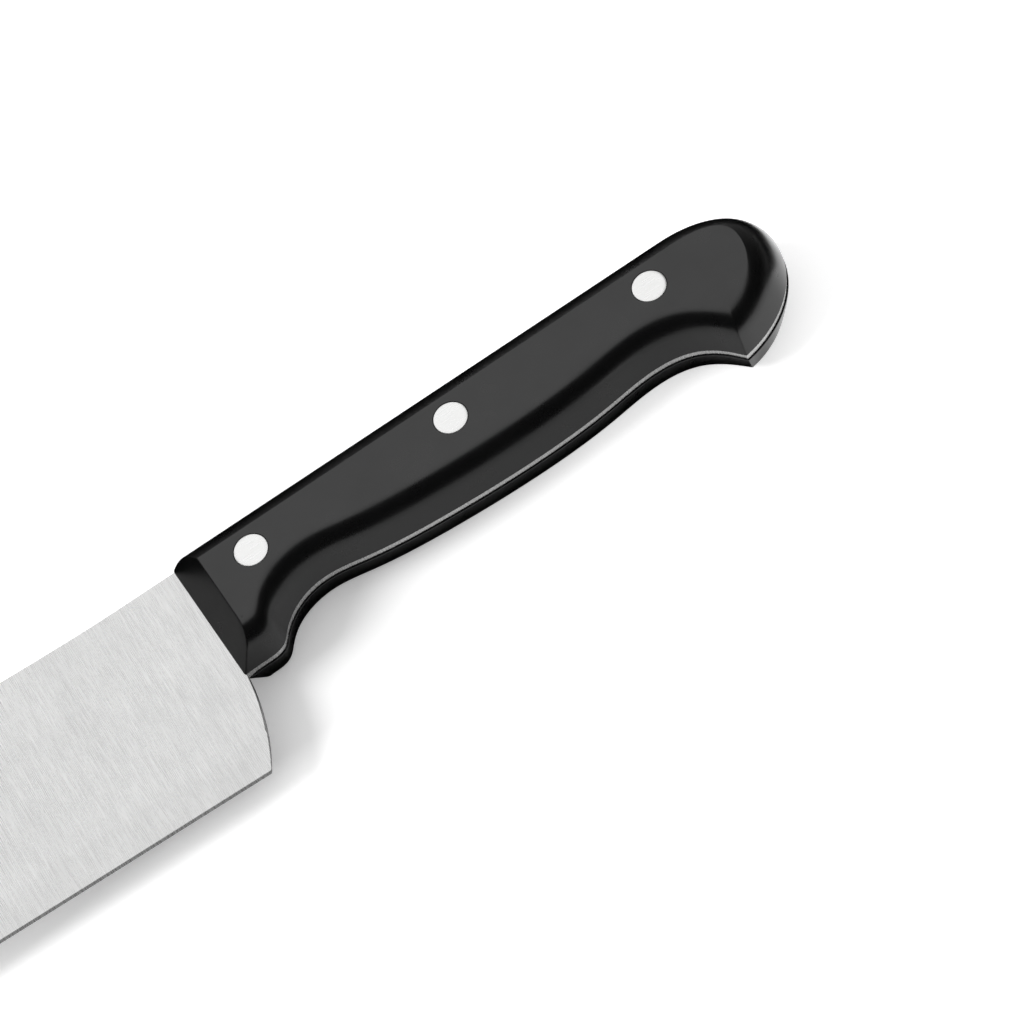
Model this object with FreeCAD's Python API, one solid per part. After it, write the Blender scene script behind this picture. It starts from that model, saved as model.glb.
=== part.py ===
import FreeCAD, Part
import math
import os

# Chef's knife with a full tang, two riveted scales and three two-piece rivets.
# Millimetres. The knife lies on its right side: butt towards +X, spine towards +Y, left face up (+Z).
# While it is modelled, X = 0 is the front line of the scales, Y = 0 the straight top of the handle
# and Z = 0 the middle of the tang. All pieces are moved together at the end.

V = FreeCAD.Vector

# ---- overall sizes ----
HANDLE_LENGTH = 121.4       # front line of the scales to the butt
BLADE_LENGTH = 203.0        # front line of the scales to the tip, an 8 inch blade
HEEL_DEPTH = 46.1           # top of the handle down to the heel
HANDLE_THICKNESS = 17.5     # over both scales
BLADE_THICKNESS = 1.5       # spine and tang

# ---- handle outline, depths below the top line ----
GUARD_DEPTH = 26.9          # front drop that shields the fingers
GROOVE_DEPTH = 19.0         # first finger groove
SWELL_DEPTH = 23.0          # palm swell
HOLLOW_DEPTH = 21.2         # hollow in front of the hook
HOOK_DEPTH = 29.3           # tip of the hook
BUTT_DEPTH = 11.8           # depth at which the butt reaches furthest back
GROOVE_AT = 21.7            # deepest point of the groove behind the front line
HOLLOW_BACK = 29.4          # hollow ahead of the butt
HOOK_BACK = 16.6            # hook tip ahead of the butt
BUTT_ROUND = 17.4           # the straight top ends this far ahead of the butt

# ---- handle section ----
TOP_CREASE_ANGLE = 33.0     # turn of the surface at the crease above the flat face
TOP_RADIUS = 10.5           # rounding between that crease and the spine of the tang
BELLY_DRAFT = 15.0          # lean of the belly side from upright
BELLY_RADIUS = 4.6          # rounding between belly side and flat face
FRONT_LEAN = 0.8            # the front line starts this much further forward at the top
FACE_FRONT = 4.2            # flat face starts this far behind the guard's corner, at the top
FACE_GUARD = 4.6            # and at the guard
FACE_TOP = 5.9              # flat face starts this far below the top line
FACE_RISE = 5.2             # lower rim of the flat face above the belly line
BUTT_FACE = 5.6             # flat face ends this far ahead of the butt
FACE_CORNER = 2.6           # squareness of the flat face's corner at the butt, 2 is an ellipse
HOOK_LEAN = 2.0             # at the hook the rim lies this much further back
HOOK_LIFT = 1.0             # and this much higher

# ---- blade ----
SPINE_STEP = 0.4            # spine lies this far below the top line beside the handle
SPINE_CREST = 1.6           # highest point of the spine above the top line
HEEL_BACK = 0.4             # back of the heel starts this far behind the guard's corner
HEEL_FRONT = 5.3            # and reaches the edge this far ahead of it
HEEL_RADIUS = 50.0          # curve of the back of the heel
EDGE_RISE = 1.8             # degrees the edge climbs towards the tip
TIP_DEPTH = 21.0            # tip below the top line
GRIND_WIDTH = 7.1           # ground band along the edge
GRIND_THICKNESS = 0.55      # thickness where the ground band meets the final bevel
BEVEL_WIDTH = 0.5           # final bevel
EDGE_LAND = 0.08            # what is left at the very edge

# ---- rivets ----
RIVET_HEAD = 6.35           # quarter inch cutler's rivet
RIVET_DEPTH = 10.7          # rivet axis below the top line
RIVET_FRONT = 13.0          # first rivet behind the front line
RIVET_BACK = 23.8           # last rivet ahead of the butt; the middle one is halfway
BARREL = 4.0                # outside of the female shank
SHANK = 2.9                 # male shank
HEAD_SEAT = 2.4             # head thickness, also the depth of its seat in the scale
FIT = 0.03                  # radial play around heads and shanks
END_PLAY = 0.5              # room left at both ends of the male shank

# ---- derived ----
HALF_TANG = BLADE_THICKNESS / 2
HALF_HANDLE = HANDLE_THICKNESS / 2
SCALE = HALF_HANDLE - HALF_TANG
LAST_RIVET = HANDLE_LENGTH - RIVET_BACK
RIVETS = [RIVET_FRONT, (RIVET_FRONT + LAST_RIVET) / 2, LAST_RIVET]


def bezier(a, b, c, d, t):
    s = 1 - t
    return tuple(s**3 * a[k] + 3 * s * s * t * b[k] + 3 * s * t * t * c[k] + t**3 * d[k]
                 for k in range(2))


def spline(points, z, even=False):
    """Smooth edge through flat points, at height z. Even knots let edges be lofted together."""
    curve = Part.BSplineCurve()
    at = [V(x, y, z) for x, y in points]
    if even:
        curve.interpolate(Points=at, Parameters=[float(i) for i in range(len(at))])
    else:
        curve.interpolate(Points=at)
    return curve.toShape()


def line(a, b, z):
    return Part.makeLine(V(a[0], a[1], z), V(b[0], b[1], z))


def smooth_points(points, per_span):
    """Points of a smooth curve through the given ones, a fixed number in every span."""
    curve = Part.BSplineCurve()
    curve.interpolate(Points=[V(x, y, 0) for x, y in points])
    knots = curve.getKnots()
    out = []
    for a, b in zip(knots, knots[1:]):
        out += [curve.value(a + (b - a) * i / per_span) for i in range(per_span)]
    out.append(curve.value(knots[-1]))
    return [(p.x, p.y) for p in out]


def belly_lines():
    """Lower outline at the tang and the lower rim of the flat face, from guard to hook."""
    hollow = HANDLE_LENGTH - HOLLOW_BACK
    swell = (GROOVE_AT + hollow) / 2 + 6
    hook = HANDLE_LENGTH - HOOK_BACK
    # (x, depth, lean and lift of the rim against the plain offset FACE_RISE)
    line = [(0, GUARD_DEPTH, FACE_GUARD, 0),
            (GROOVE_AT - 17.5, GUARD_DEPTH - 0.1, 1.1, 0),
            (GROOVE_AT - 14.4, GUARD_DEPTH - 0.3, -0.7, 0.1),
            (GROOVE_AT - 12.8, GUARD_DEPTH - 1.0, -1.1, 0.3),
            (GROOVE_AT - 11.4, GUARD_DEPTH - 2.6, -1.4, -0.1),
            (GROOVE_AT - 9.1, GROOVE_DEPTH + 3.0, -1.6, 0),
            (GROOVE_AT - 5.5, GROOVE_DEPTH + 0.95, -1.2, 0),
            (GROOVE_AT, GROOVE_DEPTH, -0.2, 0),
            (GROOVE_AT + 7.3, GROOVE_DEPTH + 1.15, 0, 0),
            (swell - 18, SWELL_DEPTH - 0.8, 0, 0),
            (swell, SWELL_DEPTH, 0, 0),
            (swell + 17, SWELL_DEPTH - 0.85, 0, 0),
            (hollow, HOLLOW_DEPTH, 0, 0.1),
            (hollow + 6.2, HOLLOW_DEPTH + 1.65, 0.5, 0.2),
            (hollow + 9.9, HOLLOW_DEPTH + 4.5, 1.3, 0.2),
            (hook, HOOK_DEPTH, HOOK_LEAN, HOOK_LIFT)]
    outer = [(x, -depth) for x, depth, lean, lift in line]
    rim = [(x + lean, FACE_RISE - depth + lift) for x, depth, lean, lift in line]
    return smooth_points(outer, 3), smooth_points(rim, 3)


def butt_lines():
    """Outline and flat face rim from the hook round the butt to the straight top."""
    end = HANDLE_LENGTH
    top = end - BUTT_ROUND
    hook = (end - HOOK_BACK, -HOOK_DEPTH)
    hook_rim = (hook[0] + HOOK_LEAN, hook[1] + FACE_RISE + HOOK_LIFT)
    far, far_rim = (end, -BUTT_DEPTH), (end - BUTT_FACE, -BUTT_DEPTH - 0.4)
    outer, rim = [], []
    for i in range(10):
        t = i / 10
        outer.append(bezier(hook, (hook[0] + 7.5, hook[1] + 1.2), (far[0], far[1] - 10.5), far, t))
        rim.append(bezier(hook_rim, (hook_rim[0] + 3.8, hook_rim[1] + 0.8),
                          (far_rim[0], far_rim[1] - 5.4), far_rim, t))
    for i in range(11):
        a = math.radians(9 * i)
        outer.append((top + BUTT_ROUND * math.cos(a), -BUTT_DEPTH * (1 - math.sin(a))))
        along, up = (abs(f(a)) ** (2 / FACE_CORNER) for f in (math.cos, math.sin))
        rim.append((top + (far_rim[0] - top) * along, far_rim[1] + (-FACE_TOP - far_rim[1]) * up))
    return outer, rim


def belly_share(z):
    """How far the belly side has moved from outline (0) to rim (1) at height z."""
    lean = math.radians(90 - BELLY_DRAFT)
    curl = BELLY_RADIUS * math.sin(lean)
    straight = SCALE - BELLY_RADIUS * (1 - math.cos(lean))
    whole = straight / math.tan(lean) + curl
    h = z - HALF_TANG
    if h <= straight:
        return h / math.tan(lean) / whole
    a = math.acos(min(1, 1 - (HALF_HANDLE - z) / BELLY_RADIUS))
    return 1 - BELLY_RADIUS * math.sin(a) / whole


def top_share(z):
    """The same for the rounded top."""
    first = math.radians(TOP_CREASE_ANGLE)
    last = math.acos(math.cos(first) - SCALE / TOP_RADIUS)
    a = math.acos(math.cos(first) - (HALF_HANDLE - z) / TOP_RADIUS)
    return (math.sin(last) - math.sin(a)) / (math.sin(last) - math.sin(first))


def between(outer, rim, share):
    return tuple(o + (r - o) * share for o, r in zip(outer, rim))


def scale_section(z, belly, butt):
    """Closed outline of a scale at height z, with edges front, belly, butt and top."""
    front = (z - HALF_TANG) / SCALE
    low, high = belly_share(z), top_share(z)
    corner_top = ((FRONT_LEAN + FACE_FRONT) * front - FRONT_LEAN, -FACE_TOP * high)
    under = [between(o, r, low) for o, r in zip(*belly)]
    under[0] = (FACE_GUARD * front, under[0][1])
    back = []
    for i, (o, r) in enumerate(zip(*butt)):
        turn = min(1, max(0, (i - 2) / 8))    # 0 near the hook, 1 from the end of the handle on
        blend = turn * turn * (3 - 2 * turn)
        back.append(between(o, r, low + (high - low) * blend))
    return Part.Wire([line(corner_top, under[0], z), spline(under, z, True),
                      spline(back, z, True), line(back[-1], corner_top, z)])


def rivet_hole(x, radius, z0, z1):
    return Part.makeCylinder(radius, z1 - z0, V(x, -RIVET_DEPTH, z0))


def left_scale():
    curls = [75, 62, 49, 37, 26, 16, 7, 0]
    heights = [HALF_TANG, HALF_TANG + 1.5, HALF_TANG + 3.0]
    heights += [HALF_HANDLE - BELLY_RADIUS * (1 - math.cos(math.radians(a))) for a in curls]
    belly, butt = belly_lines(), butt_lines()
    body = Part.makeLoft([scale_section(z, belly, butt) for z in heights], True, False)
    for x in RIVETS:
        body = body.cut(rivet_hole(x, BARREL / 2 + FIT, 0, HANDLE_THICKNESS))
        body = body.cut(rivet_hole(x, RIVET_HEAD / 2 + FIT, HALF_HANDLE - HEAD_SEAT, HANDLE_THICKNESS))
    return body


def heel_back():
    """Start, middle and end of the arc at the back of the heel."""
    start, end = (HEEL_BACK, -GUARD_DEPTH), (-HEEL_FRONT, -HEEL_DEPTH)
    dx, dy = end[0] - start[0], end[1] - start[1]
    chord = math.hypot(dx, dy)
    rise = HEEL_RADIUS - math.sqrt(HEEL_RADIUS**2 - chord**2 / 4)
    return start, ((start[0] + end[0]) / 2 - rise * dy / chord,
                   (start[1] + end[1]) / 2 + rise * dx / chord), end


def edge_points():
    """The cutting edge from heel to tip."""
    heel, tip = heel_back()[2], (-BLADE_LENGTH, -TIP_DEPTH)
    rise = math.tan(math.radians(EDGE_RISE))
    reach = BLADE_LENGTH * 0.5
    pull = (tip[0] + BLADE_LENGTH * 0.19, tip[1] - (HEEL_DEPTH - TIP_DEPTH) * 0.84)
    return [bezier(heel, (heel[0] - reach, heel[1] + reach * rise), pull, tip, i / 24)
            for i in range(25)]


def inset(points, width):
    """Points moved square to the curve, towards the spine, and run on past both ends."""
    out = []
    for i, p in enumerate(points):
        a, b = points[max(i - 1, 0)], points[min(i + 1, len(points) - 1)]
        dx, dy = b[0] - a[0], b[1] - a[1]
        n = math.hypot(dx, dy)
        out.append((p[0] + width * dy / n, p[1] - width * dx / n))
    first, last = out[0], out[-1]
    run = 15 / math.hypot(out[0][0] - out[1][0], out[0][1] - out[1][1])
    out.insert(0, tuple(first[k] + (first[k] - out[1][k]) * run for k in range(2)))
    run = 15 / math.hypot(last[0] - out[-2][0], last[1] - out[-2][1])
    out.append(tuple(last[k] + (last[k] - out[-2][k]) * run for k in range(2)))
    return out


def bevel_cutter(wide, z_wide, narrow, z_narrow):
    """Solid under a sloping face that runs along the edge between two insets and heights."""
    edge = edge_points()
    low = -HEEL_DEPTH - 30
    wires = []
    for width, z in ((wide, z_wide), (narrow, z_narrow)):
        p = inset(edge, width)
        a, b = (p[-1][0], low), (p[0][0], low)
        wires.append(Part.Wire([spline(p, z, True), line(p[-1], a, z), line(a, b, z),
                                line(b, p[0], z)]))
    return Part.makeLoft(wires, True, True)


def blade():
    """One plate: blade, ground along the edge, and the full tang with its rivet holes."""
    belly, butt = belly_lines()[0], butt_lines()[0]
    tip = (-BLADE_LENGTH, -TIP_DEPTH)
    guard, bend, heel = heel_back()
    belly[0] = guard
    crest = (-0.34 * BLADE_LENGTH, SPINE_CREST)
    flat = (-12.0, -SPINE_STEP)
    rise = [bezier(flat, (flat[0] - 18, flat[1]), (crest[0] + 22, crest[1]), crest, i / 6)
            for i in range(7)]
    fall = [bezier(crest, (crest[0] - 55, crest[1]), (tip[0] + 32, tip[1] + 9.5), tip, i / 10)
            for i in range(1, 11)]
    z = -HALF_TANG
    outline = Part.Wire([
        Part.Arc(V(*heel, z), V(*bend, z), V(*guard, z)).toShape(),
        spline(belly, z), spline(butt, z), line(butt[-1], (0, 0), z),
        line((0, 0), (0, -SPINE_STEP), z), line((0, -SPINE_STEP), flat, z),
        spline(rise + fall, z), spline(edge_points()[::-1], z)])
    body = Part.Face(outline).extrude(V(0, 0, BLADE_THICKNESS))
    ground, sharp = GRIND_THICKNESS / 2, EDGE_LAND / 2
    for side in (1, -1):
        # each slope is carried on a little past its own height so that no skin is left over
        slope = (HALF_TANG - ground) / (GRIND_WIDTH - BEVEL_WIDTH)
        body = body.cut(bevel_cutter(GRIND_WIDTH + 3, side * (HALF_TANG + 3 * slope),
                                     BEVEL_WIDTH - 3, side * (ground - 3 * slope)))
        slope = (ground - sharp) / BEVEL_WIDTH
        body = body.cut(bevel_cutter(BEVEL_WIDTH + 3, side * (ground + 3 * slope),
                                     -0.1, side * (sharp - 0.1 * slope)))
    for x in RIVETS:
        body = body.cut(rivet_hole(x, BARREL / 2 + FIT, -HALF_TANG, HALF_TANG))
    return body


def rivet_male(x):
    seat = HALF_HANDLE - HEAD_SEAT
    head = rivet_hole(x, RIVET_HEAD / 2, seat, HALF_HANDLE)
    shank = rivet_hole(x, SHANK / 2, END_PLAY - seat, seat)
    return head.fuse(shank).removeSplitter()


def rivet_female(x):
    seat = HALF_HANDLE - HEAD_SEAT
    head = rivet_hole(x, RIVET_HEAD / 2, -HALF_HANDLE, -seat)
    barrel = rivet_hole(x, BARREL / 2, -seat, seat - END_PLAY)
    bore = rivet_hole(x, SHANK / 2 + FIT, -seat, seat)
    return head.fuse(barrel.cut(bore)).removeSplitter()


def main():
    left = left_scale()
    pieces = {"blade": blade(), "scale_left": left,
              "scale_right": left.mirror(V(0, 0, 0), V(0, 0, 1))}
    for i, x in enumerate(RIVETS):
        pieces["rivet_%d_male" % (i + 1)] = rivet_male(x)
        pieces["rivet_%d_female" % (i + 1)] = rivet_female(x)
    # the finished knife stands with the middle of its footprint at the origin
    box = Part.makeCompound(list(pieces.values())).optimalBoundingBox(False)
    move = V(-(box.XMin + box.XMax) / 2, -(box.YMin + box.YMax) / 2, HALF_HANDLE)
    os.makedirs("parts", exist_ok=True)
    for name, shape in pieces.items():
        shape.translate(move)
        shape.exportStep("parts/%s.step" % name)
        print(name, len(shape.Solids), shape.isValid(), round(shape.Volume, 1))
    print("moved by", move, "size", box.XLength, box.YLength, box.ZLength)


main()
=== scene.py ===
import math

import bmesh
import bpy
import numpy as np
from bpy.props import FloatProperty, FloatVectorProperty, IntProperty, PointerProperty
from mathutils import Matrix, Vector


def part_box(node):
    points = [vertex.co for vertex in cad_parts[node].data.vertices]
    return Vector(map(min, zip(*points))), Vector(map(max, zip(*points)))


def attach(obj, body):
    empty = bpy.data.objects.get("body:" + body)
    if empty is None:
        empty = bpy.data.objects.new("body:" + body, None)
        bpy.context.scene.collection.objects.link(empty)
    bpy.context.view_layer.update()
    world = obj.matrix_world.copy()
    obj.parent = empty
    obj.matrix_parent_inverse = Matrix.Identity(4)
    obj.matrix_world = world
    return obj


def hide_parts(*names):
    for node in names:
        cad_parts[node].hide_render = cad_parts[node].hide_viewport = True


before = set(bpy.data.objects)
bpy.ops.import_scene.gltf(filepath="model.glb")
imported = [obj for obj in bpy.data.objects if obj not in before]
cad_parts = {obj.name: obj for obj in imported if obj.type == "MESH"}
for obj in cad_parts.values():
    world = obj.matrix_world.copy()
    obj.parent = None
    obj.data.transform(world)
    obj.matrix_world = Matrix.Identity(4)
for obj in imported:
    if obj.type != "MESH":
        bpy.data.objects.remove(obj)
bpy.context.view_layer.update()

bl_info = {
    "name": "Chef's Knife",
    "version": (1, 0, 0),
    "blender": (4, 5, 0),
    "location": "3D View > Sidebar > Knife",
    "description": "Shapes and finishes a full tang chef's knife around its packed model",
    "category": "Mesh",
}

MM = 0.001
LEVEL = 0.985                   # faces whose normal is this upright count as level

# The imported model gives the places: the left scale lies on the tang and faces up.
LOW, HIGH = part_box("scale_left")
FRONT_LEAN = 0.8                # the front line starts this much further forward at the top
FRONT_LINE = LOW.x + FRONT_LEAN * MM    # the guard's corner, where the blade comes out
TOP_LINE = HIGH.y               # the straight top of the handle
HANDLE_LENGTH = (HIGH.x - FRONT_LINE) / MM
HOOK_DEPTH = 29.3
HEEL_DEPTH = 46.1
BLADE_LENGTH = 203.0
GROOVE_X = 21.7                 # the deepest point of the finger groove
HOLLOW_X = HANDLE_LENGTH - 29.4     # the hollow ahead of the hook
HOOK_X = HANDLE_LENGTH - 16.6
RIM_RISE = 5.2                  # from the lower outline up to the rim of the flat face
BUTT_LENGTH, BUTT_DEPTH = 17.4, 11.8    # the round end, behind and below the straight top
BUTT_POWER = 2.6                # makes the flat face's corner at the butt fuller than an ellipse
FACE_TOP = 5.9                  # the flat face starts this far below the top line
FACE_FRONT, FACE_GUARD = 4.2, 4.6   # and this far behind the front line, above and below
SCALE_THICKNESS = (HIGH.z - LOW.z) / MM
HEAD_HEIGHT = 2.4               # of the rivets' heads, sunk in the scales
BORE = 2.03                     # radius of the holes for the rivets
SEAT_GAP, SEAT_EASE = 0.07, 0.08    # around the heads, and the rounding of that edge
PLATE_LOW, PLATE_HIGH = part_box("blade")
PLATE = (PLATE_HIGH.z - PLATE_LOW.z) / MM
MIDDLE = (PLATE_LOW.z + PLATE_HIGH.z) / 2
OUTSIDE = PLATE / 2 + SCALE_THICKNESS   # from the middle to the flat faces
RIVETS = (1, 2, 3)


# ------------------------------------------------------------------ settings

class KnifeScaleSettings(bpy.types.PropertyGroup):
    guard_depth: FloatProperty(
        name="Guard Depth", default=26.9, description="Front drop below the top line, mm")
    groove_depth: FloatProperty(
        name="Groove Depth", default=19.0, description="Handle depth at the finger groove, mm")
    swell_depth: FloatProperty(
        name="Swell Depth", default=23.0, description="Handle depth at the palm swell, mm")
    hollow_depth: FloatProperty(
        name="Hollow Depth", default=21.2, description="Handle depth ahead of the hook, mm")
    belly_radius: FloatProperty(
        name="Belly Radius", default=4.6, description="Rounding below the flat face, mm")
    belly_draft: FloatProperty(
        name="Belly Draft", default=15.0, description="Lean of the belly side, degrees")
    top_radius: FloatProperty(
        name="Top Radius", default=10.5, description="Rounding of the top side, mm")
    top_crease: FloatProperty(
        name="Top Crease", default=33.0, description="Turn at the crease over the face, degrees")
    butt_crease: FloatProperty(
        name="Butt Crease", default=20.0, description="The same at the end of the butt, degrees")
    crease_radius: FloatProperty(
        name="Crease Radius", default=0.3, description="Softening of the creases, mm")
    lip_radius: FloatProperty(
        name="Lip Radius", default=0.25, description="Rounding of the edges on the tang, mm")
    colour: FloatVectorProperty(
        name="Plastic", subtype="COLOR", size=4, min=0, max=1, default=(0.0018, 0.0018, 0.0019, 1),
        description="Colour of the moulded scales")


class KnifeBladeSettings(bpy.types.PropertyGroup):
    colour: FloatVectorProperty(
        name="Steel", subtype="COLOR", size=4, min=0, max=1, default=(0.560, 0.560, 0.557, 1),
        description="Colour of the ground steel")
    roughness: FloatProperty(
        name="Roughness", default=0.28, min=0, max=1, description="Roughness of the ground sides")
    tang_inset: FloatProperty(
        name="Tang Inset", default=0.3, min=0, description="Tang set back from the scales, mm")
    tang_ease: FloatProperty(
        name="Tang Edges", default=0.2, min=0, description="Rounding of the tang's edges, mm")
    spine_ease: FloatProperty(
        name="Spine Edges", default=0.08, min=0, description="Rounding of the spine, mm")
    heel_ease: FloatProperty(
        name="Heel Edges", default=0.22, min=0, description="Rounding at the heel's back, mm")


class KnifeRivetSettings(bpy.types.PropertyGroup):
    steps: IntProperty(
        name="Steps", default=96, min=24, max=256, description="Faces around each rivet")
    colour: FloatVectorProperty(
        name="Rivet Metal", subtype="COLOR", size=4, min=0, max=1, default=(0.725, 0.725, 0.72, 1),
        description="Colour of the rivets")


class KnifeStageSettings(bpy.types.PropertyGroup):
    softbox: FloatProperty(
        name="Softbox", default=5.7, min=0, description="Power of the softbox, W")
    overhead: FloatProperty(
        name="Overhead", default=24.0, min=0, description="Power of the overhead lamp, W")
    side: FloatProperty(
        name="Side", default=24.0, min=0, description="Power of the side lamp, W")
    surround: FloatProperty(
        name="Surround", default=0.03, min=0, description="Brightness of the dark studio")
    glow: FloatProperty(
        name="Glow", default=0.35, min=0, description="Glow behind the spine that the gloss sees")
    lift: FloatProperty(
        name="Floor Lift", default=0.3, min=0, description="Extra white of the floor as seen")
    # painted light: these floor lifts, seen by the camera only, fade the lamps' shadow beside the
    # handle, towards the tip and below the edge
    painted_light_beside_handle: FloatProperty(
        name="Handle Lift", default=0.33, min=0, description="More of it beside the handle")
    painted_light_towards_tip: FloatProperty(
        name="Blade Lift", default=0.2, min=0, description="More of it towards the tip")
    painted_light_below_edge: FloatProperty(
        name="Edge Lift", default=0.3, min=0, description="More of it below the blade's edge")
    # painted reflection: white round the butt that only the gloss sees, not lamp light
    painted_butt_reflection: FloatProperty(
        name="Butt Lift", default=1.7, min=0, description="White that the butt's gloss sees")


# ------------------------------------------------------------------ curves

def natural_spline(points, per_span):
    """Points of a smooth curve through the given ones, the same number in every span."""
    at = np.array(points, float)
    step = np.linalg.norm(np.diff(at, axis=0), axis=1)
    count = len(at)
    matrix = np.zeros((count, count))
    right = np.zeros((count, 2))
    matrix[0, 0] = matrix[-1, -1] = 1
    for i in range(1, count - 1):
        a, b = step[i - 1], step[i]
        matrix[i, i - 1:i + 2] = a, 2 * (a + b), b
        right[i] = 6 * ((at[i + 1] - at[i]) / b - (at[i] - at[i - 1]) / a)
    bend = np.linalg.solve(matrix, right)
    out = []
    for i in range(count - 1):
        h = step[i]
        for k in range(per_span):
            t = h * k / per_span
            s = h - t
            out.append((bend[i] * s**3 + bend[i + 1] * t**3) / (6 * h)
                       + (at[i] / h - bend[i] * h / 6) * s
                       + (at[i + 1] / h - bend[i + 1] * h / 6) * t)
    out.append(at[-1])
    return [tuple(p) for p in out]


def bezier(a, b, c, d, t):
    """The point at t of a cubic curve from a to d."""
    s = 1 - t
    return tuple(s**3 * a[k] + 3 * s * s * t * b[k] + 3 * s * t * t * c[k] + t**3 * d[k]
                 for k in range(2))


def between(a, b, share):
    """A point on the straight line from a to b."""
    return tuple(p + (q - p) * share for p, q in zip(a, b))


def smooth(value, start, end):
    """0 before the start, 1 behind the end, and a soft change between them."""
    turn = min(1.0, max(0.0, (value - start) / (end - start)))
    return turn * turn * (3 - 2 * turn)


def place(x, y, z):
    """A point of the handle's own millimetres in the row's frame."""
    return Vector((FRONT_LINE + x * MM, TOP_LINE + y * MM, MIDDLE + z * MM))


# ------------------------------------------------------------------ modelling

def clear_selection():
    if bpy.context.mode != "OBJECT":
        bpy.ops.object.mode_set(mode="OBJECT")
    bpy.ops.object.select_all(action="DESELECT")


def draw_up(name, rings):
    """A closed solid: a first loop is filled, and its face extruded to every following loop."""
    clear_selection()
    bpy.ops.mesh.primitive_circle_add(vertices=len(rings[0]), radius=MM, fill_type="NOTHING")
    piece = bpy.context.object
    piece.name = piece.data.name = name
    station = piece.data.attributes.new("station", "INT", "POINT")
    station.data.foreach_set("value", range(len(rings[0])))
    bpy.ops.object.mode_set(mode="EDIT")
    bpy.ops.mesh.select_all(action="SELECT")
    bpy.ops.mesh.edge_face_add()
    move_loop(piece, rings[0])
    for ring in rings[1:]:
        bpy.ops.mesh.extrude_region_move(TRANSFORM_OT_translate={"value": (0, 0, MM)})
        move_loop(piece, ring)
    bpy.ops.mesh.select_all(action="SELECT")
    bpy.ops.mesh.normals_make_consistent(inside=False)
    bpy.ops.object.mode_set(mode="OBJECT")
    piece.data.attributes.remove(piece.data.attributes["station"])
    bpy.ops.object.transform_apply(location=True, rotation=True, scale=True)
    return piece


def move_loop(piece, ring):
    """Puts the selected loop's vertices at their stations."""
    mesh = bmesh.from_edit_mesh(piece.data)
    station = mesh.verts.layers.int["station"]
    for vert in mesh.verts:
        if vert.select:
            vert.co = ring[vert[station]]
    bmesh.update_edit_mesh(piece.data)


def cut(piece, cutters):
    """Takes the cutters out of a piece and removes them."""
    for cutter in cutters:
        clear_selection()
        bpy.context.view_layer.objects.active = piece
        piece.select_set(True)
        modifier = piece.modifiers.new("Cut", "BOOLEAN")
        modifier.operation = "DIFFERENCE"
        modifier.solver = "EXACT"
        modifier.object = cutter
        bpy.ops.object.modifier_apply(modifier=modifier.name)
        bpy.data.objects.remove(cutter)


def turned(name, centre, profile, steps):
    """A round piece drawn up along Z through (radius, height) pairs."""
    if profile[0][1] > profile[-1][1]:
        profile = profile[::-1]
    rings = []
    for radius, z in profile:
        rings.append([Vector((centre.x + radius * MM * math.cos(math.tau * i / steps),
                              centre.y + radius * MM * math.sin(math.tau * i / steps),
                              MIDDLE + z * MM)) for i in range(steps)])
    return draw_up(name, rings)


def finish(piece, node, material, angle=30, flat=False):
    """Smooth shading, finish and body of a piece, whose imported part is hidden. Flat keeps level
    faces plain.
    """
    clear_selection()
    bpy.context.view_layer.objects.active = piece
    piece.select_set(True)
    bpy.ops.object.shade_smooth_by_angle(angle=math.radians(angle))
    if flat:
        for face in piece.data.polygons:
            if abs(face.normal.z) > LEVEL:
                face.use_smooth = False
    piece.data.materials.clear()
    piece.data.materials.append(material)
    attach(piece, "root")
    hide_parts(node)


# ------------------------------------------------------------------ handle outline

def belly_lines(s, per_span):
    """Lower outline at the tang and the lower rim of the flat face, from guard to hook."""
    groove, hollow = GROOVE_X, HOLLOW_X
    swell = (groove + hollow) / 2 + 6
    # along the handle, depth of the outline, lean of the rim backwards, extra rise of the rim
    rows = [(0, s.guard_depth, FACE_GUARD, 0),
            (groove - 17.5, s.guard_depth - 0.1, 1.1, 0),
            (groove - 14.4, s.guard_depth - 0.3, -0.7, 0.1),
            (groove - 12.8, s.guard_depth - 1.0, -1.1, 0.3),
            (groove - 11.4, s.guard_depth - 2.6, -1.4, -0.1),
            (groove - 9.1, s.groove_depth + 3.0, -1.6, 0),
            (groove - 5.5, s.groove_depth + 0.95, -1.2, 0),
            (groove, s.groove_depth, -0.2, 0),
            (groove + 7.3, s.groove_depth + 1.15, 0, 0),
            (swell - 18, s.swell_depth - 0.8, 0, 0),
            (swell, s.swell_depth, 0, 0),
            (swell + 17, s.swell_depth - 0.85, 0, 0),
            (hollow, s.hollow_depth, 0, 0.1),
            (hollow + 6.2, s.hollow_depth + 1.65, 0.5, 0.2),
            (hollow + 9.9, s.hollow_depth + 4.5, 1.3, 0.2),
            (HOOK_X, HOOK_DEPTH, 2.0, 1.0)]
    outer = [(x, -depth) for x, depth, lean, lift in rows]
    rim = [(x + lean, RIM_RISE - depth + lift) for x, depth, lean, lift in rows]
    return natural_spline(outer, per_span), natural_spline(rim, per_span)


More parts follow.
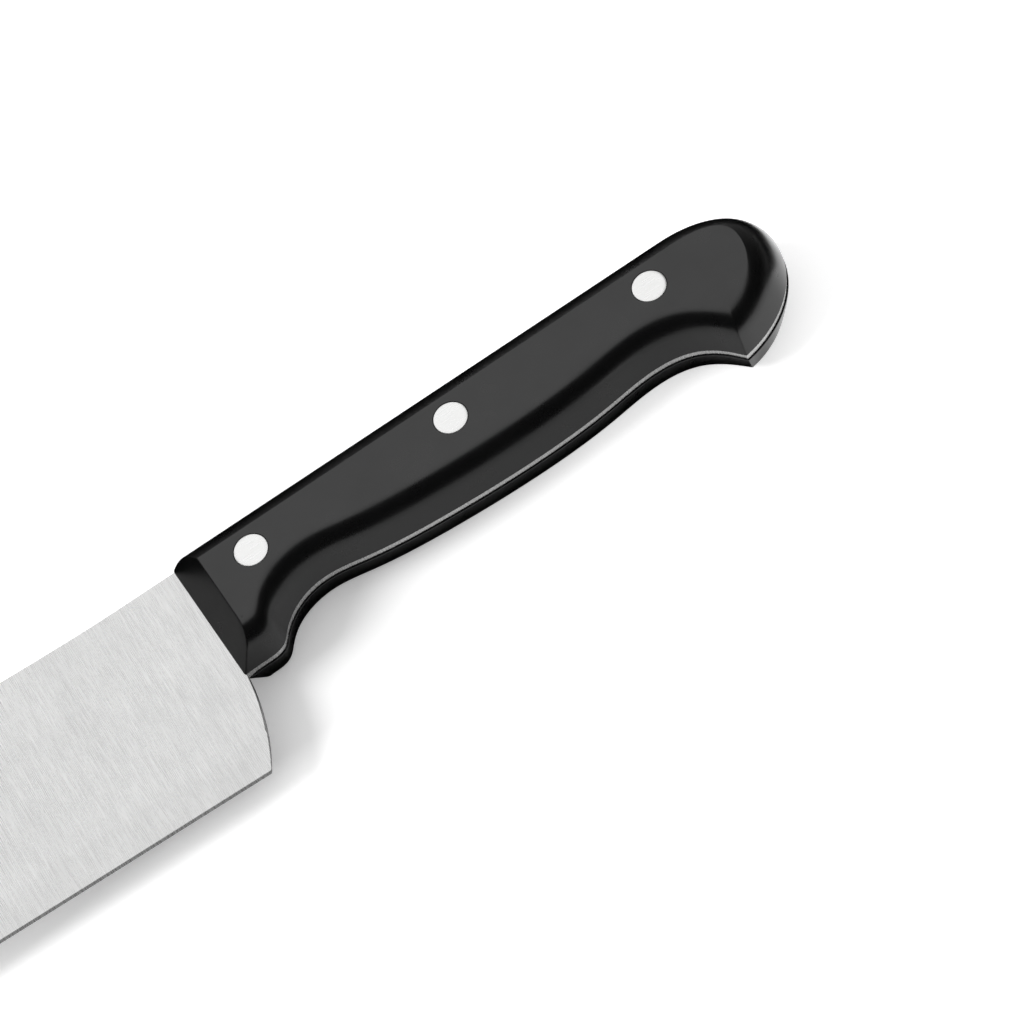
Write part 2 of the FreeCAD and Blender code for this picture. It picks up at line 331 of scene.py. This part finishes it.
def butt_lines(steps):
    """Outline and flat face rim from the hook round the butt to the straight top."""
    end, length, depth = HANDLE_LENGTH, BUTT_LENGTH, BUTT_DEPTH
    top = end - length
    hook, far = (HOOK_X, -HOOK_DEPTH), (end, -depth)
    hook_rim = (hook[0] + 2.0, hook[1] + RIM_RISE + 1.0)
    far_rim = (end - 5.6, -depth - 0.4)
    outer, rim = [], []
    for i in range(steps):
        t = i / steps
        outer.append(bezier(hook, (hook[0] + 7.5, hook[1] + 1.2), (far[0], far[1] - 10.5), far, t))
        rim.append(bezier(hook_rim, (hook_rim[0] + 3.8, hook_rim[1] + 0.8),
                          (far_rim[0], far_rim[1] - 5.4), far_rim, t))
    for i in range(steps + 1):
        a = math.pi / 2 * i / steps
        along, up = (abs(part) ** (2 / BUTT_POWER) for part in (math.cos(a), math.sin(a)))
        outer.append((top + length * math.cos(a), -depth * (1 - math.sin(a))))
        rim.append((top + (far_rim[0] - top) * along,
                    far_rim[1] + (-FACE_TOP - far_rim[1]) * up))
    return outer, rim


# ------------------------------------------------------------------ scales

# depths under the flat face of a scale 8 mm thick, closer together where it is rounded
DEPTHS = (0, 0.003, 0.012, 0.027, 0.045, 0.08, 0.12, 0.165, 0.22, 0.3, 0.45, 0.65, 0.9, 1.25,
          1.7, 2.2, 2.8, 3.41, 4.2, 5.2, 6.2, 7.1, 7.6, 7.7, 7.76, 7.82, 7.88, 7.93, 7.97, 8.0)
FACE_INSET = 0.08               # share of the way that an inner loop lies past the face's rim
BUTT_TURN = (0.2, 1)            # where round the butt the belly's side becomes the round one
END_TURN = (1.85, 1.2)          # and where the top's crease becomes the butt's


def scale_rings(s, side):
    """Loops of one scale from the tang (side 1: up, -1: down) to the flat face."""
    draft = math.radians(90 - s.belly_draft)
    straight = SCALE_THICKNESS - s.belly_radius * (1 - math.cos(draft))
    whole = straight / math.tan(draft) + s.belly_radius * math.sin(draft)
    soft, lip_radius = s.crease_radius, s.lip_radius

    def fillet(down, turn):
        """How far a small rounding pulls the crease in, at this depth under the face."""
        depth = soft * (1 - math.cos(turn))
        if down >= depth:
            return 0.0
        flat = soft * math.tan(turn / 2)
        a = math.acos(1 - down / soft)
        return down / math.tan(turn) + flat - soft * math.sin(a)

    def lip(down):
        """The same for the edge on the tang."""
        up = SCALE_THICKNESS - down
        if up >= lip_radius:
            return 0.0
        return lip_radius - math.sqrt(lip_radius**2 - (lip_radius - up) ** 2)

    def belly(down):
        """Share of the way from outline to rim: a straight leaning side with a rounding over it."""
        up = SCALE_THICKNESS - down
        if up <= straight:
            return (up / math.tan(draft) + lip(down)) / whole
        a = math.acos(max(-1.0, 1 - down / s.belly_radius))
        return 1 - s.belly_radius * math.sin(a) / whole

    def round_of(crease):
        """The same for a side that is round from the crease to the tang."""
        first = math.radians(crease)
        last = math.acos(math.cos(first) - SCALE_THICKNESS / s.top_radius)
        reach = s.top_radius * (math.sin(last) - math.sin(first))

        def share(down):
            a = math.acos(math.cos(first) - down / s.top_radius)
            inset = s.top_radius * (math.sin(last) - math.sin(a))
            return (inset + fillet(down, first) + lip(down)) / reach
        return share

    top, end = round_of(s.top_crease), round_of(s.butt_crease)

    def front(down):
        """The same for the flat facet at the front."""
        inset = FACE_GUARD * (1 - down / SCALE_THICKNESS)
        return (inset + fillet(down, math.atan2(SCALE_THICKNESS, FACE_GUARD))) / FACE_GUARD

    per_span, steps = 8, 24
    under, butt = belly_lines(s, per_span), butt_lines(steps)
    downs = [d * SCALE_THICKNESS / 8.0 for d in DEPTHS][::-1]
    rings = []
    for down, extra in [(d, 0) for d in downs] + [(0, FACE_INSET)]:
        f, b, t, e = [share(down) + extra for share in (front, belly, top, end)]
        corner = ((FRONT_LEAN + FACE_FRONT) * f - FRONT_LEAN, -FACE_TOP * t)
        ring = []
        for i, (o, r) in enumerate(zip(*under)):
            # the first span runs from the front facet's lean to the belly's
            share = f + (b - f) * min(1, i / per_span)
            ring.append((o[0] + (r[0] - o[0]) * share, o[1] + (r[1] - o[1]) * b))
        back = []
        for i, (o, r) in enumerate(zip(*butt)):
            w = t + (e - t) * smooth(i / steps, *END_TURN)
            back.append(between(o, r, b + (w - b) * smooth(i / steps, *BUTT_TURN)))
        line = round_corners(ring, back, corner, soft)
        rings.append([place(x, y, side * (OUTSIDE - down)) for x, y in line])
    return rings


def round_corners(belly, butt, corner, radius):
    """One closed loop through belly and butt, its three sharp corners rounded off."""
    skip, arc_steps, run_steps, face_steps = 6, 6, 12, 8

    def arc(before, at, after):
        a, b = Vector(before) - Vector(at), Vector(after) - Vector(at)
        a.normalize()
        b.normalize()
        inner = a.angle(b)
        reach = radius / math.tan(inner / 2)
        centre = Vector(at) + (a + b).normalized() * (radius / math.sin(inner / 2))
        p, q = Vector(at) + a * reach, Vector(at) + b * reach
        out = []
        for i in range(arc_steps + 1):
            v = (p - centre).lerp(q - centre, i / arc_steps)
            out.append(tuple(centre + v.normalized() * radius))
        return out

    front_low = arc(corner, belly[0], belly[skip])
    hook = arc(belly[-3], belly[-1], butt[2])
    top = arc(butt[-1], corner, belly[0])
    run = [between(butt[-1], top[0], i / run_steps) for i in range(1, run_steps)]
    face = [between(top[-1], front_low[0], i / face_steps) for i in range(1, face_steps)]
    return front_low + belly[skip:-1] + hook + butt[2:] + run + top + face


def rivet_place(number):
    """Centre and head radius of a rivet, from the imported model."""
    low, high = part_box("rivet_%d_male" % number)
    return (low + high) / 2, (high.x - low.x) / MM / 2


def make_scale(s, name, side, material):
    """One scale with the stepped holes that the rivets sit in."""
    piece = draw_up(name, scale_rings(s, side))
    cutters = []
    for number in RIVETS:
        centre, radius = rivet_place(number)
        radius += SEAT_GAP
        seat = OUTSIDE - HEAD_HEIGHT
        profile = [(BORE, PLATE / 2 - 1), (BORE, seat), (radius, seat),
                   (radius, OUTSIDE - SEAT_EASE), (radius + SEAT_EASE, OUTSIDE),
                   (radius + SEAT_EASE, OUTSIDE + 1)]
        cutters.append(turned("cutter", centre, [(r, side * z) for r, z in profile], 96))
    cut(piece, cutters)
    finish(piece, name, material)
    return piece


# ------------------------------------------------------------------ rivets

def make_rivets(s, material):
    """Halves with a head each: a male one with a shank, and a female one with a barrel."""
    seat = OUTSIDE - HEAD_HEIGHT
    shank, barrel, hollow = 1.45, 2.0, 1.48
    for number in RIVETS:
        centre, radius = rivet_place(number)
        head = [(radius - 0.1, seat), (radius, seat + 0.1), (radius, OUTSIDE - 0.07),
                (radius - 0.02, OUTSIDE - 0.025), (radius - 0.07, OUTSIDE), (radius - 0.6, OUTSIDE)]
        halves = {
            "male": [(shank - 0.15, 0.5 - seat), (shank, 0.65 - seat), (shank, seat)] + head,
            "female": [(r, -z) for r, z in head[::-1]]
            + [(barrel, -seat), (barrel, seat - 0.55), (barrel - 0.1, seat - 0.5),
               (hollow, seat - 0.5), (hollow, -seat)]}
        for kind, profile in halves.items():
            node = "rivet_%d_%s" % (number, kind)
            piece = turned(node + "_piece", centre, profile, s.steps)
            finish(piece, node, material)


# ------------------------------------------------------------------ blade

HEEL_START, HEEL_TIP = (0.4, -26.9), (-5.3, -HEEL_DEPTH)
HEEL_RADIUS = 50.0
TIP = (-BLADE_LENGTH, -21.0)
SPINE_STEP, SPINE_CREST = 0.4, 1.6
GRIND_WIDTH, GRIND_HALF = 7.1, 0.275
BEVEL_WIDTH, LAND_HALF = 0.5, 0.04
SPINE_FLAT = -12.0              # where the spine starts to rise
SPINE_STEPS = 40
EASE_HEIGHTS = (0.45, 0.52, 0.58, 0.63, 0.67, 0.70, 0.72, 0.735, 0.745, 0.75)


def heel_centre():
    """Centre of the hollow arc at the back of the heel."""
    a, b = Vector(HEEL_START), Vector(HEEL_TIP)
    along = (b - a).normalized()
    deep = math.sqrt(HEEL_RADIUS**2 - (b - a).length_squared / 4)
    return (a + b) / 2 + Vector((along.y, -along.x)) * deep


def spine_points(steps):
    """Spine from the end of the flat beside the handle over its crest to the tip."""
    flat, crest = (SPINE_FLAT, -SPINE_STEP), (-0.34 * BLADE_LENGTH, SPINE_CREST)
    rise = [bezier(flat, (flat[0] - 18, flat[1]), (crest[0] + 22, crest[1]), crest, i / steps)
            for i in range(steps)]
    fall = [bezier(crest, (crest[0] - 55, crest[1]), (TIP[0] + 32, TIP[1] + 9.5), TIP,
                   i / (2 * steps)) for i in range(2 * steps + 1)]
    return np.array(rise + fall)


def edge_at(width, count):
    """The cutting edge moved in by a width, from the back of the heel to the spine."""
    rise = math.tan(math.radians(1.8))
    reach = BLADE_LENGTH * 0.5
    pull = (TIP[0] + BLADE_LENGTH * 0.19, TIP[1] - (HEEL_DEPTH + TIP[1]) * 0.84)
    push = (HEEL_TIP[0] - reach, HEEL_TIP[1] + reach * rise)
    steps = 300
    base = np.array([bezier(HEEL_TIP, push, pull, TIP, i / steps) for i in range(steps + 1)])
    run = np.gradient(base, axis=0)
    run /= np.linalg.norm(run, axis=1)[:, None]
    moved = base + width * np.stack([run[:, 1], -run[:, 0]], 1)
    moved = np.vstack([moved[0] - run[0] * 12, moved])
    # cut off where it crosses the heel's arc
    out = np.linalg.norm(moved - np.array(heel_centre()), axis=1) - HEEL_RADIUS
    first = int(np.argmax(out < 1e-6))
    share = out[first - 1] / (out[first - 1] - out[first])
    start = moved[first - 1] + (moved[first] - moved[first - 1]) * share
    # and where it crosses the spine
    spine = spine_points(SPINE_STEPS)[::-1]
    over = moved[:, 1] - np.interp(moved[:, 0], spine[:, 0], spine[:, 1])
    over[:len(over) // 2] = -1
    last = int(np.argmax(over > -1e-6))
    share = over[last - 1] / (over[last - 1] - over[last])
    end = moved[last - 1] + (moved[last] - moved[last - 1]) * share
    line = np.vstack([start, moved[first:last], end])
    walked = np.concatenate([[0], np.cumsum(np.linalg.norm(np.diff(line, axis=0), axis=1))])
    at = np.linspace(0, walked[-1], count)
    return np.stack([np.interp(at, walked, line[:, k]) for k in range(2)], 1)


def plate_rings(s):
    """Loops of blade and tang from the right side to the left, ground along the edge."""
    scale = bpy.context.scene.knife_scale
    belly, butt = belly_lines(scale, 6)[0], butt_lines(20)[0]
    centre = np.array(heel_centre())
    spine = spine_points(SPINE_STEPS)[::-1]
    # the ease heights are those of a plate 1.5 mm thick
    heights = [LAND_HALF, GRIND_HALF] + [h * PLATE / 1.5 for h in EASE_HEIGHTS]
    levels = [-h for h in heights[::-1]] + heights
    rings = []
    for z in levels:
        h = abs(z)
        if h <= GRIND_HALF:
            width = BEVEL_WIDTH * (h - LAND_HALF) / (GRIND_HALF - LAND_HALF)
        else:
            share = (h - GRIND_HALF) / (PLATE / 2 - GRIND_HALF)
            width = BEVEL_WIDTH + (GRIND_WIDTH - BEVEL_WIDTH) * share
        edge = edge_at(width, 150)
        a0 = math.atan2(*(edge[0] - centre)[::-1])
        a1 = math.atan2(*(np.array(HEEL_START) - centre)[::-1])
        heel = [tuple(centre + HEEL_RADIUS * np.array((math.cos(a), math.sin(a))))
                for a in np.linspace(a0, a1, 18)[1:-1]]
        xs = np.linspace(SPINE_FLAT, edge[-1][0], 90)[:-1]
        back = [(x, float(np.interp(x, spine[:, 0], spine[:, 1]))) for x in xs]
        top = [between(butt[-1], (0, 0), i / 24) for i in range(1, 24)]
        line = ([HEEL_START] + belly[3:] + butt[1:] + top
                + [(0, 0), (-0.2, -SPINE_STEP)] + [(-x, -SPINE_STEP) for x in (2, 4, 6, 8, 10)]
                + back + [tuple(p) for p in edge[::-1]] + heel)
        tang = len(belly) - 2 + len(butt) - 1 + len(top)
        before_edge = tang + 7 + len(back)
        # each part of the outline has its own rounding, near the level sides
        ease = [s.tang_ease] * tang + [s.spine_ease] * (before_edge - tang) + [0.0] * len(edge)
        ease += [s.heel_ease] * len(heel)
        points = np.array(line)
        sideways = np.roll(points, -1, 0) - np.roll(points, 1, 0)
        sideways /= np.linalg.norm(sideways, axis=1)[:, None]
        inward = np.stack([-sideways[:, 1], sideways[:, 0]], 1)
        start = np.array([PLATE / 2 - e for e in ease])
        radius = np.maximum(np.array(ease), 1e-9)
        into = np.clip(h - start, 0, radius)
        shift = np.where(h > start, radius - np.sqrt(np.maximum(radius**2 - into**2, 0)), 0)
        # the tang is set back from the scales, except where it comes out at the front
        shift[:tang] += s.tang_inset * np.array([smooth(x, -0.5, 2.5) for x in points[:tang, 0]])
        points = points + inward * shift[:, None]
        rings.append([place(x, y, z) for x, y in points])
    return rings


def make_blade(s, material):
    """Blade and tang in one piece, with the holes for the rivets."""
    piece = draw_up("blade_piece", plate_rings(s))
    cut(piece, [turned("cutter", rivet_place(number)[0], [(BORE, -2), (BORE, 2)], 64)
                for number in RIVETS])
    finish(piece, "blade", material, flat=True)


# ------------------------------------------------------------------ materials

METALLIC = 0.75                 # the rest is dull, so the metal isn't black from the side


class Nodes:
    """A short way to write the nodes of a new material, or of a given world."""

    def __init__(self, owner):
        world = isinstance(owner, bpy.types.World)
        self.material = owner if world else bpy.data.materials.new(owner)
        self.material.use_nodes = True
        self.tree = self.material.node_tree
        self.tree.nodes.clear()
        self.out = self.add("ShaderNodeOutputWorld" if world else "ShaderNodeOutputMaterial")

    def add(self, kind, **values):
        node = self.tree.nodes.new(kind)
        for key, value in values.items():
            setattr(node, key, value)
        return node

    def join(self, a, b):
        self.tree.links.new(a, b)

    def coords(self, scale=(1, 1, 1), turn=0.0):
        """The piece's own coordinates, stretched and turned round Z by some degrees."""
        place_node = self.add("ShaderNodeTexCoord")
        mapping = self.add("ShaderNodeMapping")
        mapping.inputs["Scale"].default_value = scale
        mapping.inputs["Rotation"].default_value = (0, 0, math.radians(turn))
        self.join(place_node.outputs["Object"], mapping.inputs["Vector"])
        return mapping.outputs["Vector"]

    def noise(self, vector, scale, detail=3, rough=0.5):
        noise = self.add("ShaderNodeTexNoise")
        noise.inputs["Scale"].default_value = scale
        noise.inputs["Detail"].default_value = detail
        noise.inputs["Roughness"].default_value = rough
        self.join(vector, noise.inputs["Vector"])
        return noise.outputs["Fac"]

    def spread(self, value, low, high, to_low, to_high):
        """A value that goes from to_low to to_high while the input goes from low to high."""
        node = self.add("ShaderNodeMapRange")
        node.inputs["From Min"].default_value = low
        node.inputs["From Max"].default_value = high
        node.inputs["To Min"].default_value = to_low
        node.inputs["To Max"].default_value = to_high
        self.join(value, node.inputs["Value"])
        return node.outputs["Result"]

    def work(self, kind, a, b):
        """One Math node; a and b are numbers or outputs."""
        node = self.add("ShaderNodeMath", operation=kind)
        for value, slot in zip((a, b), node.inputs):
            if isinstance(value, (int, float)):
                slot.default_value = value
            else:
                self.join(value, slot)
        return node.outputs[0]

    def bump(self, height, strength, distance, below=None):
        node = self.add("ShaderNodeBump")
        node.inputs["Strength"].default_value = strength
        node.inputs["Distance"].default_value = distance
        self.join(height, node.inputs["Height"])
        if below:
            self.join(below, node.inputs["Normal"])
        return node.outputs["Normal"]


def black_plastic(colour):
    """Moulded black plastic: satin, with the faint orange peel of the mould."""
    n = Nodes("black_moulded_plastic")
    shader = n.add("ShaderNodeBsdfPrincipled")
    shader.inputs["Base Color"].default_value = colour
    shader.inputs["IOR"].default_value = 1.54
    base = n.coords()
    cloud = n.noise(base, 140, 4, 0.6)
    n.join(n.spread(cloud, 0.3, 0.7, 0.26, 0.34), shader.inputs["Roughness"])
    peel = n.noise(base, 1400, 3, 0.55)
    n.join(n.bump(peel, 0.12, 0.00002), shader.inputs["Normal"])
    n.join(shader.outputs["BSDF"], n.out.inputs["Surface"])
    return n.material


def ground_steel(s):
    """Stainless steel ground across the blade, from spine to edge."""
    n = Nodes("ground_steel")
    shader = n.add("ShaderNodeBsdfPrincipled")
    shader.inputs["Metallic"].default_value = METALLIC
    # noise that is stretched across the blade gives the grinding lines
    fine = n.noise(n.coords((4200, 170, 170), 3), 1, 3, 0.7)
    wide = n.noise(n.coords((1300, 90, 90), -2), 1, 2, 0.5)
    cloud = n.noise(n.coords(), 110, 4, 0.65)
    tone = n.work("MULTIPLY", n.spread(cloud, 0.3, 0.7, 0.96, 1.04),
                  n.spread(fine, 0.25, 0.75, 0.82, 1.18))
    tint = n.add("ShaderNodeVectorMath", operation="SCALE")
    tint.inputs[0].default_value = s.colour[:3]
    n.join(tone, tint.inputs["Scale"])
    n.join(tint.outputs["Vector"], shader.inputs["Base Color"])
    n.join(n.spread(fine, 0.25, 0.75, s.roughness - 0.06, s.roughness + 0.06),
           shader.inputs["Roughness"])
    low = n.bump(wide, 0.24, 0.00004)
    n.join(n.bump(fine, 0.24, 0.00003, low), shader.inputs["Normal"])
    n.join(shader.outputs["BSDF"], n.out.inputs["Surface"])
    return n.material


def faced_rivet(s):
    """Rivet metal, faced off level with the scales."""
    n = Nodes("faced_rivet_metal")
    shader = n.add("ShaderNodeBsdfPrincipled")
    shader.inputs["Base Color"].default_value = s.colour
    shader.inputs["Metallic"].default_value = METALLIC
    lines = n.noise(n.coords((260, 5000, 260), 12), 1, 3, 0.6)
    n.join(n.spread(lines, 0.25, 0.75, 0.24, 0.36), shader.inputs["Roughness"])
    n.join(n.bump(lines, 0.1, 0.00002), shader.inputs["Normal"])
    n.join(shader.outputs["BSDF"], n.out.inputs["Surface"])
    return n.material


def floor_material(s):
    """Pale floor that looks white and keeps the lamps' shadow by the heel; painted light fades that
    shadow elsewhere, a painted reflection glows round the butt, and the gloss sees a darker copy of
    the floor.
    """
    n = Nodes("pale_floor")
    diffuse = n.add("ShaderNodeBsdfDiffuse")
    light = n.add("ShaderNodeEmission")
    path = n.add("ShaderNodeLightPath")
    camera, glossy = path.outputs["Is Camera Ray"], path.outputs["Is Glossy Ray"]
    # painted shade in reflections: the floor is 0.82 as lit, but the gloss sees a darker copy of
    # 0.68, which darkens the handle's lower slope
    n.join(n.spread(glossy, 0, 1, 0.82, 0.68), diffuse.inputs["Color"])
    split = n.add("ShaderNodeSeparateXYZ")
    n.join(n.coords(), split.inputs[0])
    x, y = split.outputs["X"], split.outputs["Y"]
    end = FRONT_LINE + HANDLE_LENGTH * MM

    # painted light: the camera sees more white beside the handle, towards the tip and below the
    # edge, which fades the lamps' shadow there
    handle = n.spread(x, FRONT_LINE + 0.025, FRONT_LINE + 0.075, 0, s.painted_light_beside_handle)
    blade = n.spread(x, FRONT_LINE - 0.02, FRONT_LINE - 0.07, 0, s.painted_light_towards_tip)
    below = n.spread(y, TOP_LINE - 0.039, TOP_LINE - 0.0465, 0, s.painted_light_below_edge)
    seen = n.work("ADD", n.work("MAXIMUM", n.work("MAXIMUM", handle, blade), below), s.lift)
    # painted reflection: white on the floor round the butt that only the gloss sees, so the butt's
    # rounded side reflects a glow
    gloss = n.work("MULTIPLY", n.spread(x, end - 0.02, end - 0.006, 0, s.painted_butt_reflection),
                   n.spread(y, TOP_LINE - 0.027, TOP_LINE - 0.014, 0.35, 1))
    white = n.work("ADD", n.work("MULTIPLY", seen, camera), n.work("MULTIPLY", gloss, glossy))
    n.join(white, light.inputs["Strength"])
    both = n.add("ShaderNodeAddShader")
    n.join(diffuse.outputs[0], both.inputs[0])
    n.join(light.outputs[0], both.inputs[1])
    n.join(both.outputs[0], n.out.inputs["Surface"])
    return n.material


def card_material():
    """Black card that reflects nothing, seen only in the gloss: a painted dark reflection."""
    n = Nodes("black_card")
    black = n.add("ShaderNodeBsdfDiffuse")
    black.inputs["Color"].default_value = (0, 0, 0, 1)
    n.join(black.outputs[0], n.out.inputs["Surface"])
    return n.material


# ------------------------------------------------------------------ stage

def make_floor(s):
    clear_selection()
    bpy.ops.mesh.primitive_plane_add(size=6, location=(0, 0, 0))
    floor = bpy.context.object
    floor.name = "floor"
    floor.data.materials.append(floor_material(s))


def aim(obj, at, target):
    """Puts a lamp somewhere and turns it to a point."""
    obj.location = at
    obj.rotation_euler = (Vector(target) - Vector(at)).to_track_quat("-Z", "Y").to_euler()


def make_cards(scale):
    """Black cards behind the spine and under the belly, which only the gloss sees: painted dark
    reflections where the lit floor would show in the handle's rounded sides.
    """
    level = -MIDDLE / MM + 0.4          # just over the floor
    margin, under, far = 1.3, -10.0, 600.0
    belly = [(x, y - margin) for x, y in belly_lines(scale, 4)[0]]
    belly += [(belly[-1][0], under), (belly[0][0], under)]
    back = [(-far, far), (-far, 1.0)]
    # it keeps away from the butt, whose side reflects the white floor in between
    gap_end, gap_side = 20, 16
    for i in range(25):
        a = math.radians(90 - 4 * i)
        back.append((HANDLE_LENGTH - BUTT_LENGTH + (BUTT_LENGTH + gap_end) * math.cos(a),
                     -BUTT_DEPTH + (BUTT_DEPTH + 1 + gap_side * math.cos(a)) * math.sin(a)))
    back += [(far, -0.35 * far), (far, far)]
    for name, line in (("belly_card", belly), ("back_card", back)):
        card = draw_up(name, [[place(x, y, level) for x, y in line]])
        card.data.materials.append(card_material())
        card.visible_camera = card.visible_diffuse = False
        card.visible_shadow = card.visible_transmission = False


def area_lamp(name, shape, size, power, target, direction, distance):
    bpy.ops.object.light_add(type="AREA")
    lamp = bpy.context.object
    lamp.name = name
    lamp.data.shape = shape
    lamp.data.size = size[0]
    if shape == "RECTANGLE":
        lamp.data.size_y = size[1]
    lamp.data.energy = power
    aim(lamp, target + Vector(direction).normalized() * distance, target)
    return lamp


def make_lights(s):
    """A softbox that the gloss sees, and two broad lamps that light floor and colours."""
    target = place(40, -15, 0)
    lean = math.radians(30)
    softbox = area_lamp("softbox", "RECTANGLE", (1.1, 1.3), s.softbox, target,
                        (0, math.sin(lean), math.cos(lean)), 1.2)
    softbox.visible_diffuse = False
    overhead = area_lamp("overhead", "SQUARE", (3.0,), s.overhead, target, (0, 0.001, 1), 1.5)
    side = area_lamp("side", "DISK", (1.0,), s.side, target, (-1, 0.2, 0.9), 1.6)
    overhead.visible_glossy = side.visible_glossy = False
    bpy.context.scene.world = studio(s)


def studio(s):
    """White as seen, dark around the knife, with a low glow behind the spine for the gloss."""
    world = bpy.data.worlds.new("studio")
    n = Nodes(world)
    background = n.add("ShaderNodeBackground")
    background.inputs["Color"].default_value = (1, 1, 1, 1)
    path = n.add("ShaderNodeLightPath")
    split = n.add("ShaderNodeSeparateXYZ")
    n.join(n.add("ShaderNodeTexCoord").outputs["Generated"], split.inputs[0])
    y, z = split.outputs["Y"], split.outputs["Z"]
    glow = n.work("MULTIPLY", n.spread(y, 0.3, 0.8, 0, s.glow), path.outputs["Is Glossy Ray"])
    height = n.work("MULTIPLY", n.spread(z, 0, 0.12, 0, 1), n.spread(z, 0.5, 0.75, 1, 0))
    around = n.work("ADD", n.work("MULTIPLY", glow, height), s.surround)
    seen = n.work("MAXIMUM", around, path.outputs["Is Camera Ray"])
    n.join(seen, background.inputs["Strength"])
    n.join(background.outputs[0], n.out.inputs["Surface"])
    return world


def make_camera():
    """Looks at the handle from the edge side, with the handle rising to the right."""
    tilt, turn, slope = math.radians(32), math.radians(5), math.radians(33.6)
    back = Vector((-math.sin(tilt) * math.sin(turn), -math.sin(tilt) * math.cos(turn),
                   math.cos(tilt)))
    across = Vector((math.cos(turn), -math.sin(turn), 0))
    upward = Vector((math.sin(turn) * math.cos(tilt), math.cos(turn) * math.cos(tilt),
                     math.sin(tilt)))
    roll = slope - math.atan(math.cos(tilt) * math.tan(turn))
    right = across * math.cos(roll) - upward * math.sin(roll)
    up = across * math.sin(roll) + upward * math.cos(roll)
    lens, sensor, view_width = 150.0, 36.0, 180.6 * MM
    distance = view_width * lens / sensor
    target = place(55.02, -28.73, 0)
    data = bpy.data.cameras.new("camera")
    data.lens = lens
    data.clip_start = 0.01
    camera = bpy.data.objects.new("camera", data)
    bpy.context.scene.collection.objects.link(camera)
    turned_to = Matrix((right, up, back)).transposed().to_4x4()
    camera.matrix_world = Matrix.Translation(target + back * distance) @ turned_to
    bpy.context.scene.camera = camera


# ------------------------------------------------------------------ operators

class KNIFE_OT_make_scales(bpy.types.Operator):
    """Model both handle scales with their rivet seats"""
    bl_idname = "knife.make_scales"
    bl_label = "Make Scales"

    def execute(self, context):
        s = context.scene.knife_scale
        material = black_plastic(s.colour)
        for name, side in (("scale_left", 1), ("scale_right", -1)):
            piece = make_scale(s, name, side, material)
            piece.name = name + "_piece"
        return {"FINISHED"}


class KNIFE_OT_make_rivets(bpy.types.Operator):
    """Model the two halves of each rivet"""
    bl_idname = "knife.make_rivets"
    bl_label = "Make Rivets"

    def execute(self, context):
        make_rivets(context.scene.knife_rivet, faced_rivet(context.scene.knife_rivet))
        return {"FINISHED"}


class KNIFE_OT_make_blade(bpy.types.Operator):
    """Model the blade with its tang, ground band and rivet holes"""
    bl_idname = "knife.make_blade"
    bl_label = "Make Blade"

    def execute(self, context):
        s = context.scene.knife_blade
        make_blade(s, ground_steel(s))
        return {"FINISHED"}


class KNIFE_OT_make_stage(bpy.types.Operator):
    """Set up floor, black cards, lamps, studio and camera"""
    bl_idname = "knife.make_stage"
    bl_label = "Make Stage"

    def execute(self, context):
        s = context.scene.knife_stage
        make_floor(s)
        make_cards(context.scene.knife_scale)
        make_lights(s)
        make_camera()
        context.scene.view_settings.view_transform = "Standard"
        return {"FINISHED"}


class KNIFE_PT_panel(bpy.types.Panel):
    """Lists the steps that build the knife"""
    bl_label = "Chef's Knife"
    bl_space_type = "VIEW_3D"
    bl_region_type = "UI"
    bl_category = "Knife"

    def draw(self, context):
        for step in STEPS:
            self.layout.operator(step.bl_idname)


SETTINGS = {"knife_scale": KnifeScaleSettings, "knife_blade": KnifeBladeSettings,
            "knife_rivet": KnifeRivetSettings, "knife_stage": KnifeStageSettings}
STEPS = (KNIFE_OT_make_blade, KNIFE_OT_make_scales, KNIFE_OT_make_rivets, KNIFE_OT_make_stage)


def register():
    for cls in (*SETTINGS.values(), *STEPS, KNIFE_PT_panel):
        bpy.utils.register_class(cls)
    for name, cls in SETTINGS.items():
        setattr(bpy.types.Scene, name, PointerProperty(type=cls))


def unregister():
    for name in SETTINGS:
        delattr(bpy.types.Scene, name)
    for cls in reversed((*SETTINGS.values(), *STEPS, KNIFE_PT_panel)):
        bpy.utils.unregister_class(cls)


def main():
    register()
    bpy.ops.knife.make_blade()
    bpy.ops.knife.make_scales()
    bpy.ops.knife.make_rivets()
    bpy.ops.knife.make_stage()


if __name__ == "__main__":
    main()
